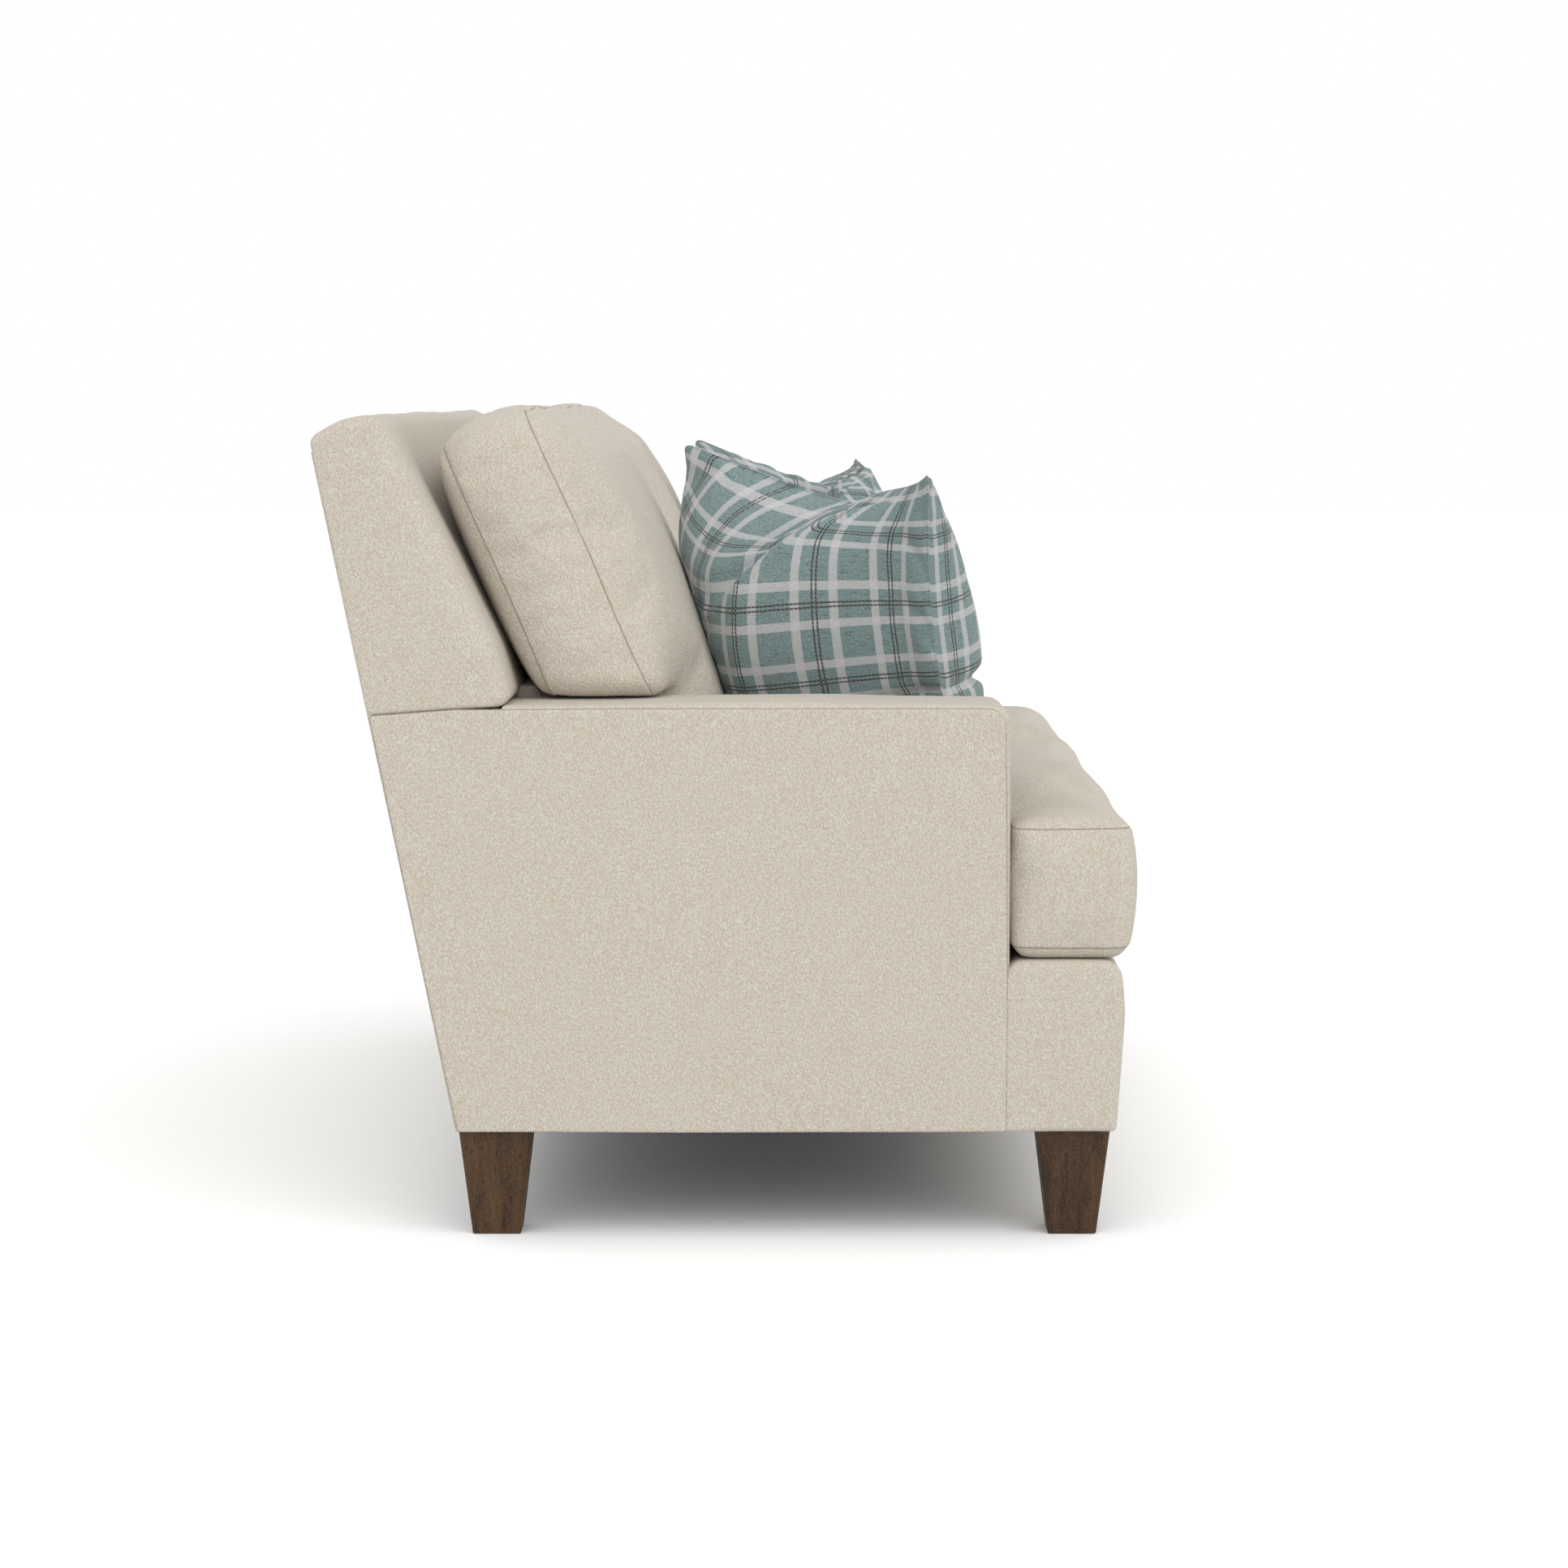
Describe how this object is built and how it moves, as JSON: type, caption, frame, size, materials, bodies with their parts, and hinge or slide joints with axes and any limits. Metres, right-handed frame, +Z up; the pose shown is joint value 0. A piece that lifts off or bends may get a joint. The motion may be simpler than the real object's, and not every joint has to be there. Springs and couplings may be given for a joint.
{
  "type": "loveseat",
  "caption": "Upholstered loveseat with set-back track arms, T-shaped loose seat and back cushions, plaid throw pillows and square tapered wooden legs.",
  "frame": {"origin": "on the floor under the middle of the sofa's box", "axes": "+Z up, +X towards the sitter's left along the sofa's width, -Y the way the sitter faces"},
  "size_m": [1.575, 0.9605, 0.977],
  "materials": {
    "frame_wood": "sawn softwood and plywood, unfinished",
    "leg_wood": "dark walnut stain, satin",
    "upholstery": "cream nubby chenille weave",
    "deck_cloth": "plain deck cloth over felt",
    "dust_cloth": "black cambric",
    "foam": "polyurethane foam",
    "fibre": "polyester fibre fill",
    "plaid": "teal plaid weave with pale bands and thin dark lines",
    "webbing": "elastic webbing",
    "steel": "zinc-plated and oiled wire",
    "glide_plastic": "black nylon",
    "zip_plastic": "cream nylon coil zip"
  },
  "bodies": {
    "frame": {"front_rail": "frame_wood", "rear_rail": "frame_wood", "spring_rail": "frame_wood", "center_stretcher": "frame_wood", "corner_blocks": "frame_wood", "back_center_post": "frame_wood", "back_top_rail": "frame_wood", "back_lower_rails": "frame_wood", "seat_springs": "steel", "spring_clips": "steel", "spring_tie_wires": "steel", "back_webbing": "webbing", "seat_deck": "deck_cloth", "inside_back": "upholstery", "outside_back": "upholstery", "front_border": "upholstery", "dust_cover": "dust_cloth", "leg_plates": "steel", "hanger_bolts": "steel", "glides": "glide_plastic", "side_rail_right": "frame_wood", "side_rail_left": "frame_wood", "arm_front_post_right": "frame_wood", "arm_front_post_left": "frame_wood", "arm_top_rail_right": "frame_wood", "arm_top_rail_left": "frame_wood", "back_end_post_right": "frame_wood", "back_end_post_left": "frame_wood", "outside_arm_right": "upholstery", "outside_arm_left": "upholstery", "arm_wrap_right": "upholstery", "arm_wrap_left": "upholstery", "back_end_right": "upholstery", "back_end_left": "upholstery", "leg_front_right": "leg_wood", "leg_front_left": "leg_wood", "leg_rear_right": "leg_wood", "leg_rear_left": "leg_wood"},
    "seat_cushion_right": {"seat_cushion_cover_right": "upholstery", "seat_cushion_core_right": "foam", "seat_zip_chain_right": "zip_plastic"},
    "back_cushion_right": {"back_cushion_cover_right": "upholstery", "back_cushion_fill_right": "fibre", "back_zip_chain_right": "zip_plastic"},
    "throw_pillow_right": {"throw_pillow_cover_right": "plaid", "throw_pillow_insert_right": "fibre"},
    "seat_slider_right": {"seat_zip_slider_right": "zip_plastic"},
    "back_slider_right": {"back_zip_slider_right": "zip_plastic"},
    "seat_cushion_left": {"seat_cushion_cover_left": "upholstery", "seat_cushion_core_left": "foam", "seat_zip_chain_left": "zip_plastic"},
    "back_cushion_left": {"back_cushion_cover_left": "upholstery", "back_cushion_fill_left": "fibre", "back_zip_chain_left": "zip_plastic"},
    "throw_pillow_left": {"throw_pillow_cover_left": "plaid", "throw_pillow_insert_left": "fibre"},
    "seat_slider_left": {"seat_zip_slider_left": "zip_plastic"},
    "back_slider_left": {"back_zip_slider_left": "zip_plastic"}
  },
  "joints": [
    {"name": "seat_lift_right", "type": "slide", "parent": "frame", "child": "seat_cushion_right", "axis": [0, 0, 1], "range_m": [0, 0.32]},
    {"name": "back_lift_right", "type": "slide", "parent": "seat_cushion_right", "child": "back_cushion_right", "axis": [0, 0, 1], "range_m": [0, 0.48]},
    {"name": "pillow_lift_right", "type": "slide", "parent": "back_cushion_right", "child": "throw_pillow_right", "axis": [0, 0, 1], "range_m": [0, 0.45]},
    {"name": "seat_zip_right", "type": "slide", "parent": "seat_cushion_right", "child": "seat_slider_right", "axis": [1, 0, 0], "range_m": [0, 0.44]},
    {"name": "back_zip_right", "type": "slide", "parent": "back_cushion_right", "child": "back_slider_right", "axis": [1, 0, 0], "range_m": [0, 0.44]},
    {"name": "seat_lift_left", "type": "slide", "parent": "frame", "child": "seat_cushion_left", "axis": [0, 0, 1], "range_m": [0, 0.32]},
    {"name": "back_lift_left", "type": "slide", "parent": "seat_cushion_left", "child": "back_cushion_left", "axis": [0, 0, 1], "range_m": [0, 0.48]},
    {"name": "pillow_lift_left", "type": "slide", "parent": "back_cushion_left", "child": "throw_pillow_left", "axis": [0, 0, 1], "range_m": [0, 0.45]},
    {"name": "seat_zip_left", "type": "slide", "parent": "seat_cushion_left", "child": "seat_slider_left", "axis": [-1, 0, 0], "range_m": [0, 0.44]},
    {"name": "back_zip_left", "type": "slide", "parent": "back_cushion_left", "child": "back_slider_left", "axis": [-1, 0, 0], "range_m": [0, 0.44]}
  ]
}
